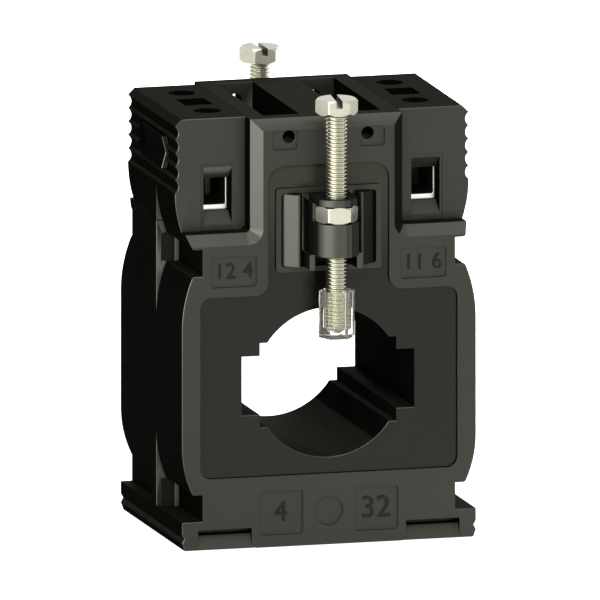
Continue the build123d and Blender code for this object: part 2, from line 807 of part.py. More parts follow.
def half_turn(shape):
    """The same piece on the opposite side, turned half a turn about the upright axis."""
    return Rot(0, 0, 180) * shape


def all_pieces():
    """Every piece by its node's name."""
    core, wrap, winding, tape = wound_ring()
    pieces = {
        "front_case": casing_half(front_notch_x, True),
        "rear_case": half_turn(casing_half(rear_notch_x, False)),
        "ring_core": core,
        "core_wrap": wrap,
        "secondary_winding": winding,
        "winding_tape": tape,
        "right_lead": lead(),
        "left_lead": half_turn(lead()),
        "right_terminal_bar": terminal_bar(),
        "left_terminal_bar": half_turn(terminal_bar()),
        "right_terminal_cover": terminal_cover(),
        "left_terminal_cover": to_left(terminal_cover()),
        "front_screw_holder": screw_holder(front_turn_deg),
        "rear_screw_holder": half_turn(screw_holder(rear_turn_deg)),
        "front_nut": nut(front_turn_deg),
        "rear_nut": half_turn(nut(rear_turn_deg)),
        "front_fixing_screw": fixing_screw(front_turn_deg),
        "rear_fixing_screw": half_turn(fixing_screw(rear_turn_deg)),
        "front_screw_cap": insulating_cap(front_turn_deg),
        "rear_screw_cap": half_turn(insulating_cap(rear_turn_deg)),
    }
    for kind, piece in (("cage", cage()), ("clamp_screw", clamp_screw())):
        pieces[f"right_front_{kind}"] = piece
        pieces[f"right_rear_{kind}"] = to_rear(piece)
        pieces[f"left_front_{kind}"] = to_left(piece)
        pieces[f"left_rear_{kind}"] = half_turn(piece)
    return pieces


os.makedirs("parts", exist_ok=True)
for name, piece in all_pieces().items():
    export_step(piece, f"parts/{name}.step")
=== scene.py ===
"""A window-type current transformer: finishes, threads and studio on its solid model. Metres."""

from math import pi, radians

import bmesh
import bpy
from bpy.props import FloatProperty, FloatVectorProperty, PointerProperty, StringProperty
from mathutils import Matrix, Vector


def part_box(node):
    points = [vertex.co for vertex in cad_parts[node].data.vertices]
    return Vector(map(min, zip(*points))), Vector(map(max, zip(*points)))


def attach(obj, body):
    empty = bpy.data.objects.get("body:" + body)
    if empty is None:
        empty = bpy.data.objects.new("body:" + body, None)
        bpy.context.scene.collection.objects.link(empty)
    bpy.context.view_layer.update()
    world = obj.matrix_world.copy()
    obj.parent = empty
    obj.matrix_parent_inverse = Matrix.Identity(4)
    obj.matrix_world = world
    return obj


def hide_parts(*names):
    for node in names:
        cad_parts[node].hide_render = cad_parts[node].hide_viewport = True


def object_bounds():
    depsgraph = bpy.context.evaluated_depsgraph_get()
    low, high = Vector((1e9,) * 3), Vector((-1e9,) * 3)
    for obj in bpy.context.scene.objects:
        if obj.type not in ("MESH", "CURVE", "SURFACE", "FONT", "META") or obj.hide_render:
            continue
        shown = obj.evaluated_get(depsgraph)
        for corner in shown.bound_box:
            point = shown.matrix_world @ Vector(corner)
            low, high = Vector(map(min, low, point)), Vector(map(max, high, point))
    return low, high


bl_info = {
    "name": "Window Current Transformer",
    "version": (1, 0, 0),
    "blender": (4, 5, 0),
    "location": "View3D > Sidebar > Transformer",
    "description": "Builds the finishes, threads, caps and studio of a window-type transformer",
    "category": "Object",
}

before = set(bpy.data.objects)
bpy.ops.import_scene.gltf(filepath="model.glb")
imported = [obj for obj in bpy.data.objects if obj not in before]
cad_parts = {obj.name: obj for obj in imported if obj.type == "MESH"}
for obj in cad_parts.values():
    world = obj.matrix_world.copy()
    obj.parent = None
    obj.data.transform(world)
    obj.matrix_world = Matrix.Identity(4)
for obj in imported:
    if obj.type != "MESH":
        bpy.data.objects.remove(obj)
CAD_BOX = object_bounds()

MM = 0.001
SIDES = ("right", "left")
ENDS = ("front", "rear")

SHARP = radians(24)    # edges that turn more than this are rounded
SMOOTH = radians(17)   # faces that meet at less than this are shaded as one surface
FLAT = radians(0.5)    # faces that meet at less than this are one flat face
MERGE = 1e-6           # points of a CAD node closer than this are one point
TOUCH = 1e-7           # points of a cut or a number closer than this touch

# The casing's front face. Only the lip between the foot pockets stands out of it.
FOOT_LIP_OUT = 0.3 * MM
FACE_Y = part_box("front_case")[0].y + FOOT_LIP_OUT

# Where the casing's finishes change: over the foot, over the bulged sides, from the shoulders up,
# and out on the flanks.
FOOT_Z = 9.0 * MM
BULGE_Z = 45.0 * MM
SHOULDER_Z = 50.0 * MM
FLANK_X = 20.0 * MM

# A cover's faces nearer to the middle than these are its inner ones, which get the painted shade of
# its sides.
COVER_INNER_X = 24.0 * MM
COVER_INNER_Y = 15.0 * MM

# A moulded part's finishes, by their places in its material slots.
# Most are lit and shaded copies of one plastic: painted light and shade, picked by which way a face
# looks.
FRONT, SIDE, CHAMFER, CREST, PANEL, SLOPE = range(6)

# Which way a face looks, by its normal: forward or back where y is over FACING, mostly so where it
# is over MOSTLY, and straight so where it is over SQUARE. Where x times y is over TURNED, it is
# turned to the left as seen from its own end, and so to the light.
FACING = 0.35
MOSTLY = 0.5
SQUARE = 0.95
TURNED = 0.3
# It looks up where z is over UPWARD, and straight up where z is over LEVEL.
UPWARD = 0.3
LEVEL = 0.9

# A fixing screw's finishes, by their places in its material slots.
ROLLED, TOP, SLOT, HEX_FLAT = range(4)

# How far a finish's roughness varies with its patches, as a share of it.
GLOSS_SPREAD = 0.12

# The black plastic's sheen is faintly olive, and warm where it is polished or dull.
SHEEN = (0.95, 1.0, 0.83, 1.0)
POLISHED_SHEEN = (1.0, 0.96, 0.86, 1.0)
DULL_SHEEN = (1.0, 0.93, 0.8, 1.0)

# The threads' ridges, at their foot and crest, as shares of the pitch.
RIDGE_FOOT = 0.8
RIDGE_CREST = 0.18
# How far a thread stops short of its screw's tip, and of the head, where the head's core goes on.
THREAD_GAP = 0.05 * MM
M4_RADIUS = 2.0 * MM
M3_RADIUS = 1.5 * MM
# From the screws' top down to where their thread begins.
FIXING_HEAD = 2.9 * MM
CLAMP_HEAD = 1.7 * MM

# The marking recesses, and each number's place in them: x, z and height in millimetres.
MARK_DEPTH = 0.45 * MM
NUMBER_PLACES = {
    "upper_left": (-18.0, 51.77, 2.95),
    "upper_right": (18.0, 51.77, 2.95),
    "lower_left": (-9.05, 6.25, 3.7),
    "lower_right": (9.05, 6.25, 4.1),
}

# The camera's direction from the object, the point it looks at, its distance and its frame's width.
VIEW_FROM = Vector((-0.2593, -0.9474, 0.1878)).normalized()
VIEW_CENTRE = Vector((2.34, 7.34, 40.23)) * MM
VIEW_DISTANCE = 0.7
VIEW_WIDTH = 0.11029


def linear(hex_colour):
    """An sRGB hex colour as linear red, green, blue and alpha."""
    values = []
    for start in (1, 3, 5):
        share = int(hex_colour[start:start + 2], 16) / 255
        values.append(share / 12.92 if share <= 0.04045 else ((share + 0.055) / 1.055) ** 2.4)
    return (*values, 1.0)


def add(tree, kind, values=None, links=None, **settings):
    """Add one node with its settings, the values of its inputs and its links."""
    node = tree.nodes.new(kind)
    for name, value in settings.items():
        setattr(node, name, value)
    for name, value in (values or {}).items():
        node.inputs[name].default_value = value
    for name, socket in (links or {}).items():
        tree.links.new(socket, node.inputs[name])
    return node


def per_mm(size_mm):
    """The scale of a texture on Object coordinates whose grain is this many millimetres."""
    return 1 / (size_mm * MM)


def new_material(name):
    """An empty material with its shader and its Object coordinates."""
    material = bpy.data.materials.new(name)
    material.use_nodes = True
    tree = material.node_tree
    tree.nodes.clear()
    output = add(tree, "ShaderNodeOutputMaterial")
    shader = add(tree, "ShaderNodeBsdfPrincipled")
    tree.links.new(shader.outputs["BSDF"], output.inputs["Surface"])
    place = add(tree, "ShaderNodeTexCoord").outputs["Object"]
    return material, tree, shader, place


def grained(name, colour, spread, roughness, grain_mm, bump_mm, patch_mm=6.0, edge_mm=0.0,
            **sockets):
    """A finish whose colour and gloss vary in soft patches, and whose grain and edges catch light.

    spread is how far the colour varies, as a share of it, and grain_mm, bump_mm and patch_mm are
    the grain's width, its relief and the patches' width. Edges are shaded as if rounded by edge_mm,
    and sockets are the shader's own, by their names.
    """
    material, tree, shader, place = new_material(name)
    patches = add(tree, "ShaderNodeTexNoise", {"Scale": per_mm(patch_mm), "Detail": 3.0},
                  {"Vector": place})
    darker = [share * (1 - spread) for share in colour[:3]] + [1.0]
    lighter = [min(share * (1 + spread), 1.0) for share in colour[:3]] + [1.0]
    tint = add(tree, "ShaderNodeValToRGB", links={"Fac": patches.outputs["Fac"]})
    for stop, position, shade in zip(tint.color_ramp.elements, (0.3, 0.7), (darker, lighter)):
        stop.position = position
        stop.color = shade
    gloss = add(tree, "ShaderNodeMapRange",
                {"To Min": roughness * (1 - GLOSS_SPREAD),
                 "To Max": roughness * (1 + GLOSS_SPREAD)},
                {"Value": patches.outputs["Fac"]})
    grain = add(tree, "ShaderNodeTexNoise", {"Scale": per_mm(grain_mm), "Detail": 2.0},
                {"Vector": place})
    relief = add(tree, "ShaderNodeBump", {"Strength": 1.0, "Distance": bump_mm * MM},
                 {"Height": grain.outputs["Fac"]})
    if edge_mm:
        soft = add(tree, "ShaderNodeBevel", {"Radius": edge_mm * MM}, samples=6)
        tree.links.new(soft.outputs["Normal"], relief.inputs["Normal"])
    tree.links.new(tint.outputs["Color"], shader.inputs["Base Color"])
    tree.links.new(gloss.outputs["Result"], shader.inputs["Roughness"])
    tree.links.new(relief.outputs["Normal"], shader.inputs["Normal"])
    for socket, value in sockets.items():
        shader.inputs[socket.replace("_", " ")].default_value = value
    return material


def paler_upwards(material, low_z, high_z, paler):
    """Turn a finish's colour paler between two heights: painted light on its upper part."""
    tree = material.node_tree
    shader = next(node for node in tree.nodes if node.type == "BSDF_PRINCIPLED")
    colour = shader.inputs["Base Color"].links[0].from_socket
    place = add(tree, "ShaderNodeTexCoord").outputs["Object"]
    height = add(tree, "ShaderNodeSeparateXYZ", links={"Vector": place}).outputs["Z"]
    share = add(tree, "ShaderNodeMapRange", {"From Min": low_z, "From Max": high_z},
                {"Value": height})
    # The colour mix's own sockets come after those for numbers and vectors: 6 and 7, and 2 out.
    mixed = add(tree, "ShaderNodeMix", data_type="RGBA", values={7: paler},
                links={0: share.outputs["Result"], 6: colour})
    tree.links.new(mixed.outputs[2], shader.inputs["Base Color"])


def linked(name, content):
    """A new object in the scene, of a mesh, curve, light or camera."""
    thing = bpy.data.objects.new(name, content)
    bpy.context.scene.collection.objects.link(thing)
    return thing


def evaluated(name, draft):
    """A plain mesh object from a draft with live modifiers, which is then removed."""
    bpy.context.view_layer.update()
    graph = bpy.context.evaluated_depsgraph_get()
    mesh = bpy.data.meshes.new_from_object(draft.evaluated_get(graph), depsgraph=graph,
                                           preserve_all_data_layers=True)
    bpy.data.objects.remove(draft)
    mesh.name = name
    return linked(name, mesh)


def finished(name, shell, materials, choose=None):
    """Turn a shell into a piece with smooth shading, and give each face its finish."""
    mesh = bpy.data.meshes.new(name)
    shell.to_mesh(mesh)
    shell.free()
    for material in materials:
        mesh.materials.append(material)
    mesh.shade_smooth()
    mesh.set_sharp_from_angle(angle=SMOOTH)
    draft = linked(name, mesh)
    weigh = draft.modifiers.new("weigh", "WEIGHTED_NORMAL")
    weigh.keep_sharp = True
    piece = evaluated(name, draft)
    if choose:
        for face in piece.data.polygons:
            face.material_index = choose(face.normal, face.center)
    return piece


def joined(name, parts, materials, choose=None):
    """One mesh object from several, with smooth shading up to sharp edges."""
    shell = bmesh.new()
    for part in parts:
        shell.from_mesh(part.data)
        bpy.data.objects.remove(part)
    bmesh.ops.recalc_face_normals(shell, faces=shell.faces)
    return finished(name, shell, materials, choose)


def clean_copy(node):
    """A merged copy of a CAD node's mesh, with its flat faces whole again."""
    shell = bmesh.new()
    shell.from_mesh(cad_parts[node].data)
    bmesh.ops.remove_doubles(shell, verts=shell.verts, dist=MERGE)
    bmesh.ops.dissolve_limit(shell, angle_limit=FLAT, verts=shell.verts[:], edges=shell.edges[:])
    return shell


def round_edges(shell, width):
    """Round the sharp edges that have room for it, as a mould's or a punch's radius leaves them."""
    least_room = 2.5 * width
    edges = []
    for edge in shell.edges:
        if len(edge.link_faces) == 2 and edge.calc_face_angle(0.0) > SHARP:
            smaller = min(face.calc_area() for face in edge.link_faces)
            if smaller / max(edge.calc_length(), 1e-9) > least_room:
                edges.append(edge)
    bmesh.ops.bevel(shell, geom=edges, offset=width, offset_type="OFFSET", segments=2,
                    profile=0.5, affect="EDGES", clamp_overlap=False)


def stand_for(piece, node, body):
    """Let a piece ride on a body in the place of its CAD node."""
    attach(piece, body)
    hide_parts(node)


def dressed(node, body, materials, choose=None, width=0.0):
    """A CAD node's own shape with its finishes, and its edges rounded by width."""
    shell = clean_copy(node)
    if width:
        round_edges(shell, width)
    stand_for(finished(f"{node}_moulded", shell, materials, choose), node, body)


def finish_node(node, material):
    """Give a CAD node its finish."""
    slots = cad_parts[node].data.materials
    if slots:
        slots[0] = material
    else:
        slots.append(material)


def finish_by_light(normal, crest_z):
    """Which lit or shaded copy of the moulded finish a face gets, painted by the way it looks to
    the light, where a crest's z is over crest_z.
    """
    turn = normal.x * normal.y
    if abs(normal.y) > FACING:
        return FRONT if abs(turn) < TURNED else CHAMFER if turn > 0 else CREST
    return CREST if normal.z > crest_z else SIDE


def lit_edges(node, body, width, material):
    """Narrow flats along a moulded piece's outer edges, front and rear, with normals tilted half
    way and a glossy finish: painted highlights where the light falls.

    An edge has one where it lies between a front or rear face of some size and a deep face beside
    it that looks up, or that is at the piece's outer side and turned to the light.
    """
    least_area, least_depth = 4.0 * MM * MM, 5.0 * MM
    proud, outer_x = 0.004 * MM, 0.88 * CAD_BOX[1].x
    shell = clean_copy(node)
    flats = bmesh.new()
    normals = []
    for edge in shell.edges:
        if len(edge.link_faces) != 2 or not edge.is_convex:
            continue
        for face, beside in (edge.link_faces, reversed(edge.link_faces)):
            loop = next(one for one in edge.link_loops if one.face == face)
            start, end = loop.vert.co, loop.link_loop_next.vert.co
            depths = [vert.co.y for vert in beside.verts]
            faces_out = abs(face.normal.y) >= SQUARE and face.normal.y * (start.y + end.y) > 0
            if not faces_out or max(depths) - min(depths) < least_depth:
                continue
            outer = abs(start.x) > outer_x and beside.normal.x * start.x > 0
            turned = outer and beside.normal.x * face.normal.y > TURNED
            lit = beside.normal.z >= UPWARD or turned
            if face.calc_area() < least_area or not lit:
                continue
            inward = face.normal.cross(end - start).normalized() * width
            lift = face.normal * proud
            corners = (start + lift, end + lift, end + inward + lift, start + inward + lift)
            flats.faces.new([flats.verts.new(corner) for corner in corners])
            normals.extend([(face.normal + beside.normal).normalized()] * 4)
    shell.free()
    mesh = bpy.data.meshes.new(f"{node}_edges")
    flats.to_mesh(mesh)
    flats.free()
    mesh.shade_smooth()
    mesh.normals_split_custom_set(normals)
    mesh.materials.append(material)
    piece = linked(f"{node}_edges", mesh)
    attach(piece, body)


def thread_tree():
    """The Geometry Nodes tree that winds a screw thread round a core, built once."""
    tree = bpy.data.node_groups.get("Screw Thread")
    if tree:
        return tree
    tree = bpy.data.node_groups.new("Screw Thread", "GeometryNodeTree")
    lengths = ("Major Radius", "Core Radius", "Pitch", "Length")
    for name in (*lengths, "Ridge", "Crest", "X", "Y", "Z"):
        socket = tree.interface.new_socket(name, in_out="INPUT", socket_type="NodeSocketFloat")
        if name in lengths:
            socket.subtype = "DISTANCE"
    tree.interface.new_socket("Finish", in_out="INPUT", socket_type="NodeSocketMaterial")
    tree.interface.new_socket("Geometry", in_out="OUTPUT", socket_type="NodeSocketGeometry")
    given = add(tree, "NodeGroupInput").outputs

    # The helix, half way up the ridge.
    turns = add(tree, "ShaderNodeMath", operation="DIVIDE",
                links={0: given["Length"], 1: given["Pitch"]})
    depth = add(tree, "ShaderNodeMath", operation="SUBTRACT",
                links={0: given["Major Radius"], 1: given["Core Radius"]})
    middle = add(tree, "ShaderNodeMath", operation="MULTIPLY_ADD", values={1: 0.5},
                 links={0: depth.outputs[0], 2: given["Core Radius"]})
    helix = add(tree, "GeometryNodeCurveSpiral", {"Resolution": 30, "Reverse": False},
                {"Rotations": turns.outputs[0], "Start Radius": middle.outputs[0],
                 "End Radius": middle.outputs[0], "Height": given["Length"]})
    upright = add(tree, "GeometryNodeSetCurveNormal", links={"Curve": helix.outputs[0]},
                  mode="Z_UP")

    # The ridge's section, turned with its crest outwards and swept along the helix.
    foot = add(tree, "ShaderNodeMath", operation="MULTIPLY",
               links={0: given["Pitch"], 1: given["Ridge"]})
    crest = add(tree, "ShaderNodeMath", operation="MULTIPLY",
                links={0: given["Pitch"], 1: given["Crest"]})
    ridge = add(tree, "GeometryNodeCurvePrimitiveQuadrilateral", {"Offset": 0.0},
                {"Height": depth.outputs[0], "Bottom Width": foot.outputs[0],
                 "Top Width": crest.outputs[0]}, mode="TRAPEZOID")
    turned = add(tree, "GeometryNodeTransform", {"Rotation": (0, 0, pi / 2)},
                 {"Geometry": ridge.outputs[0]})
    band = add(tree, "GeometryNodeCurveToMesh", {"Fill Caps": True},
               {"Curve": upright.outputs[0], "Profile Curve": turned.outputs[0]})

    # The core, from the same foot upwards.
    half = add(tree, "ShaderNodeMath", operation="MULTIPLY", values={1: 0.5},
               links={0: given["Length"]})
    lift = add(tree, "ShaderNodeCombineXYZ", links={"Z": half.outputs[0]})
    core = add(tree, "GeometryNodeMeshCylinder", {"Vertices": 40},
               {"Radius": given["Core Radius"], "Depth": given["Length"]})
    lifted = add(tree, "GeometryNodeTransform",
                 links={"Geometry": core.outputs["Mesh"], "Translation": lift.outputs[0]})
    both = add(tree, "GeometryNodeJoinGeometry", links={0: band.outputs[0]})
    tree.links.new(lifted.outputs[0], both.inputs[0])

    axis = add(tree, "ShaderNodeCombineXYZ",
               links={"X": given["X"], "Y": given["Y"], "Z": given["Z"]})
    placed = add(tree, "GeometryNodeTransform",
                 links={"Geometry": both.outputs[0], "Translation": axis.outputs[0]})
    real = add(tree, "GeometryNodeRealizeInstances", links={"Geometry": placed.outputs[0]})
    coated = add(tree, "GeometryNodeSetMaterial",
                 links={"Geometry": real.outputs[0], "Material": given["Finish"]})
    add(tree, "NodeGroupOutput", links={0: coated.outputs[0]})
    return tree


def threaded(name, values):
    """A screw thread from the tree, as a plain mesh object."""
    tree = thread_tree()
    draft = linked(name, bpy.data.meshes.new(name))
    wind = draft.modifiers.new("wind", "NODES")
    wind.node_group = tree
    for item in tree.interface.items_tree:
        if item.in_out == "INPUT":
            wind[item.identifier] = values[item.name]
    return evaluated(name, draft)


def threaded_screw(node, neck_z, radius, core, pitch, finishes, choose=None):
    """A screw for a CAD node: the node's own head down to neck_z, on a wound thread."""
    low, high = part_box(node)
    head = clean_copy(node)
    parts = bmesh.ops.bisect_plane(
        head, geom=head.verts[:] + head.edges[:] + head.faces[:], dist=TOUCH,
        plane_co=(0, 0, neck_z - THREAD_GAP), plane_no=(0, 0, 1), clear_inner=True)
    rim = [cut for cut in parts["geom_cut"] if isinstance(cut, bmesh.types.BMEdge)]
    bmesh.ops.holes_fill(head, edges=rim)
    thread = threaded(node, {
        "Major Radius": radius, "Core Radius": core, "Pitch": pitch,
        "Length": neck_z - low.z - 2 * THREAD_GAP, "Ridge": RIDGE_FOOT, "Crest": RIDGE_CREST,
        "X": (low.x + high.x) / 2, "Y": (low.y + high.y) / 2, "Z": low.z + THREAD_GAP,
        "Finish": finishes[0]})
    mesh = bpy.data.meshes.new(node)
    head.to_mesh(mesh)
    head.free()
    top = bpy.data.objects.new(node, mesh)
    return joined(f"{node}_threaded", (top, thread), finishes, choose)


class CasingSettings(bpy.types.PropertyGroup):
    """Sizes and colours of the moulded parts."""
    edge: FloatProperty(
        name="Edge Radius", description="Radius that the mould leaves on the outer edges",
        default=0.2 * MM, min=0.0, unit="LENGTH", precision=5)
    # The edge flats are painted highlights: glossy strips with tilted normals, laid only where an
    # edge is lit.
    flat: FloatProperty(
        name="Edge Flat", description="Width of the bright flat that wear leaves along the edges",
        default=0.14 * MM, min=0.0, unit="LENGTH", precision=5)
    plastic: FloatVectorProperty(
        name="Plastic", description="Colour of the black flame-retardant plastic",
        default=linear("#1d1e1a")[:3], min=0.0, max=1.0, size=3, subtype="COLOR")
    panel: FloatVectorProperty(
        name="Panel", description="Colour of the polished panel",
        default=linear("#171613")[:3], min=0.0, max=1.0, size=3, subtype="COLOR")
    panel_depth: FloatProperty(
        name="Panel Depth", description="How deep the polished panel lies in the casing's faces",
        default=0.6 * MM, min=0.0, unit="LENGTH", precision=5)


class ScrewSettings(bpy.types.PropertyGroup):
    """Sizes of the screw threads and the metal's colour."""
    pitch: FloatProperty(
        name="Fixing Pitch", description="Thread pitch of the M4 fixing screws",
        default=0.7 * MM, min=0.1 * MM, unit="LENGTH", precision=5)
    core: FloatProperty(
        name="Fixing Core", description="Core radius of the M4 thread",
        default=1.57 * MM, min=0.1 * MM, unit="LENGTH", precision=5)
    clamp_pitch: FloatProperty(
        name="Clamp Pitch", description="Thread pitch of the M3 clamp screws",
        default=0.5 * MM, min=0.1 * MM, unit="LENGTH", precision=5)
    clamp_core: FloatProperty(
        name="Clamp Core", description="Core radius of the M3 thread",
        default=1.19 * MM, min=0.1 * MM, unit="LENGTH", precision=5)
    slot: FloatProperty(
        name="Slot", description="Half the width within which a head's faces belong to its slot",
        default=0.7 * MM, min=0.0, unit="LENGTH", precision=5)
    nickel: FloatVectorProperty(
        name="Nickel", description="Colour of the nickel-plated screws and nuts",
        default=linear("#bcbbaa")[:3], min=0.0, max=1.0, size=3, subtype="COLOR")


class NumberSettings(bpy.types.PropertyGroup):
    """Raised numbers in the marking recesses."""
    upper_left: StringProperty(
        name="Upper Left", description="Number over the left notch", default="12 4")
    upper_right: StringProperty(
        name="Upper Right", description="Number over the right notch", default="11 6")
    lower_left: StringProperty(
        name="Lower Left", description="Number at the foot's left", default="4")
    lower_right: StringProperty(
        name="Lower Right", description="Number at the foot's right", default="32")
    relief: FloatProperty(
        name="Relief", description="How far the numbers stand out of their recess",
        default=0.3 * MM, min=0.0, unit="LENGTH", precision=5)


class StudioSettings(bpy.types.PropertyGroup):
    """Light and backdrop."""
    key: FloatProperty(
        name="Key Light", description="Power of the large soft light in front",
        default=3.2, min=0.0, unit="POWER")
    left: FloatProperty(
        name="Left Light", description="Power of the low strip light at the left",
        default=0.9, min=0.0, unit="POWER")
    right: FloatProperty(
        name="Right Light", description="Power of the soft light on the right side",
        default=8.0, min=0.0, unit="POWER")
    fill: FloatProperty(
        name="Fill", description="Strength of the light from all round",
        default=0.15, min=0.0)


def painted_edge_highlight(plastic, colour):
    """The outer edges' tiny flats: painted highlights, glossy so that they render as thin bright
    lines.
    """
    return grained(f"worn_edge_black_{plastic}", colour, spread=0.3, roughness=0.3,
                   grain_mm=0.5, bump_mm=0.002, patch_mm=2.0,
                   Specular_IOR_Level=1.0, Specular_Tint=SHEEN)


def casing_finishes(settings):
    """The casing's finishes in the order of their slots, and last the painted edge highlights'."""
    plastic = (*settings.plastic, 1.0)
    edge_mm = settings.edge / MM
    # Black flame-retardant polycarbonate from a spark-eroded mould: an even satin with a fine
    # grain, which takes a soft olive-grey sheen from the light. The real grain is about 0.1 mm,
    # drawn here at 0.25 mm to show.
    front = grained("moulded_black_polycarbonate", plastic, spread=0.10, roughness=0.46,
                    grain_mm=0.25, bump_mm=0.006, edge_mm=edge_mm, Specular_Tint=SHEEN)
    # Painted shade: the same plastic on the drawn sides, in a darker colour with nearly no sheen,
    # so they render deep black.
    side = grained("coarse_moulded_black_polycarbonate", linear("#121210"), spread=0.15,
                   roughness=0.72, grain_mm=0.3, bump_mm=0.008, edge_mm=edge_mm,
                   Specular_IOR_Level=0.0, Coat_Weight=0.007, Coat_Roughness=0.5)
    # Painted light and shade: the same on the top, the up-facing slopes, the flanks' bevels and
    # those that turn from the light, in a paler colour than the sides with a faint coat instead of
    # the front's sheen: a faint grey light.
    crest = grained("rubbed_black_polycarbonate", linear("#201f18"), spread=0.15, roughness=0.6,
                    grain_mm=0.3, bump_mm=0.006, patch_mm=3.0, edge_mm=edge_mm,
                    Specular_IOR_Level=0.0, Coat_Weight=0.045, Coat_Roughness=0.45)
    # Painted highlight: the same plastic on the chamfers and faces that turn to the light, made
    # glossier so they render bright.
    chamfer = grained("chamfered_black_polycarbonate", plastic, spread=0.08, roughness=0.34,
                      grain_mm=0.4, bump_mm=0.003, edge_mm=edge_mm,
                      Specular_IOR_Level=0.86, Specular_Tint=SHEEN)
    # The same from a polished part of the mould: a smooth dark field with a soft, faint mirror
    # image. Painted light: its colour grows paler where it runs up into the neck.
    panel = grained("polished_black_polycarbonate", (*settings.panel, 1.0), spread=0.06,
                    roughness=0.17, grain_mm=3.0, bump_mm=0.002, patch_mm=20.0,
                    Specular_IOR_Level=0.24, Specular_Tint=POLISHED_SHEEN)
    paler_upwards(panel, 52.0 * MM, 64.0 * MM, linear("#383b2d"))
    edge = painted_edge_highlight("polycarbonate", plastic)
    # Painted light: the same plastic on the slopes over the shoulders, turned up to the light, and
    # on the walls of the top's pockets, made glossier so they render a shade paler.
    slope = grained("sloped_black_polycarbonate", plastic, spread=0.10, roughness=0.42,
                    grain_mm=0.25, bump_mm=0.005, edge_mm=edge_mm,
                    Specular_IOR_Level=0.75, Specular_Tint=SHEEN)
    return front, side, chamfer, crest, panel, slope, edge


class TRANSFORMER_OT_casing(bpy.types.Operator):
    """Finish the two casing halves"""
    bl_idname = "transformer.casing"
    bl_label = "Casing"

    def execute(self, context):
        settings = context.scene.transformer_casing
        panel_y = abs(FACE_Y) - settings.panel_depth

        def choose(normal, centre):
            if abs(normal.y) > SQUARE and abs(abs(centre.y) - panel_y) < 0.05 * MM:
                return PANEL
            # Bevels out on the flanks get the half-lit finish instead of the bright one: painted
            # shade.
            bevelled = abs(normal.y) < SQUARE and normal.x * normal.y > TURNED
            if bevelled and abs(centre.x) > FLANK_X:
                return CREST
            # What gets the half-lit finish, a painted sheen: any slope on the foot, and only a
            # level face on the bulge.
            crest_z = 0.3 if centre.z < FOOT_Z else 0.8 if centre.z < BULGE_Z else 0.6
            finish = finish_by_light(normal, crest_z)
            # Front faces up on the shoulders that look up or into a pocket get the paler slope
            # finish: painted light.
            in_pocket = centre.y * normal.y < 0
            if finish == FRONT and centre.z > SHOULDER_Z and (normal.z > UPWARD or in_pocket):
                return SLOPE
            return finish

        finishes = casing_finishes(settings)
        for end in ENDS:
            dressed(f"{end}_case", "casing", finishes, choose)
            lit_edges(f"{end}_case", "casing", settings.flat, finishes[-1])
        return {"FINISHED"}


def cover_finishes(settings):
    """The covers' finishes in the order of their slots, and last the painted edge highlights'."""
    plastic = (*settings.plastic, 1.0)
    edge_mm = settings.edge / MM
    # Black polyamide from the same kind of mould: a shade duller than the casing.
    front = grained("moulded_black_polyamide", plastic, spread=0.10, roughness=0.5,
                    grain_mm=0.25, bump_mm=0.006, edge_mm=edge_mm, Specular_Tint=SHEEN)
    # Painted shade: the same on the sides and on the faces inside and turned inward, in a darker
    # colour with nearly no sheen, so they render deep black.
    side = grained("coarse_moulded_black_polyamide", linear("#0e0e0c"), spread=0.15,
                   roughness=0.7, grain_mm=0.3, bump_mm=0.008, edge_mm=edge_mm,
                   Specular_IOR_Level=0.0, Coat_Weight=0.006, Coat_Roughness=0.45)
    # Painted sheen: the same on the top and the ribs' crests, in a paler colour with a faint coat,
    # so they give a faint grey light.
    crest = grained("rubbed_black_polyamide", linear("#1c1c15"), spread=0.15, roughness=0.6,
                    grain_mm=0.3, bump_mm=0.006, patch_mm=3.0, edge_mm=edge_mm,
                    Specular_IOR_Level=0.0, Coat_Weight=0.035, Coat_Roughness=0.45)
    # Painted highlight: the same on the chamfers and faces that turn to the light, made glossier so
    # they render bright.
    chamfer = grained("chamfered_black_polyamide", plastic, spread=0.08, roughness=0.36,
                      grain_mm=0.4, bump_mm=0.003, edge_mm=edge_mm,
                      Specular_IOR_Level=1.0, Specular_Tint=SHEEN)
    return front, side, chamfer, crest, painted_edge_highlight("polyamide", plastic)


class TRANSFORMER_OT_covers(bpy.types.Operator):
    """Finish the two ribbed terminal covers"""
    bl_idname = "transformer.covers"
    bl_label = "Terminal Covers"

    def execute(self, context):
        settings = context.scene.transformer_casing

        def choose(normal, centre):
            finish = finish_by_light(normal, 0.45)
            # Front faces that look down get the bright chamfer finish: painted highlight.
            if finish == FRONT and normal.z < -UPWARD:
                return CHAMFER
            # Faces in the middle or turned inward get the dark side finish: painted shade.
            inner = abs(centre.y) < COVER_INNER_Y and abs(centre.x) < COVER_INNER_X
            if finish in (FRONT, CHAMFER) and (inner or centre.y * normal.y < 0):
                return SIDE
            return finish

        *finishes, edge = cover_finishes(settings)
        for side in SIDES:
            node, body = f"{side}_terminal_cover", f"{side}_cover"
            dressed(node, body, finishes, choose)
            lit_edges(node, body, settings.flat, edge)
        return {"FINISHED"}


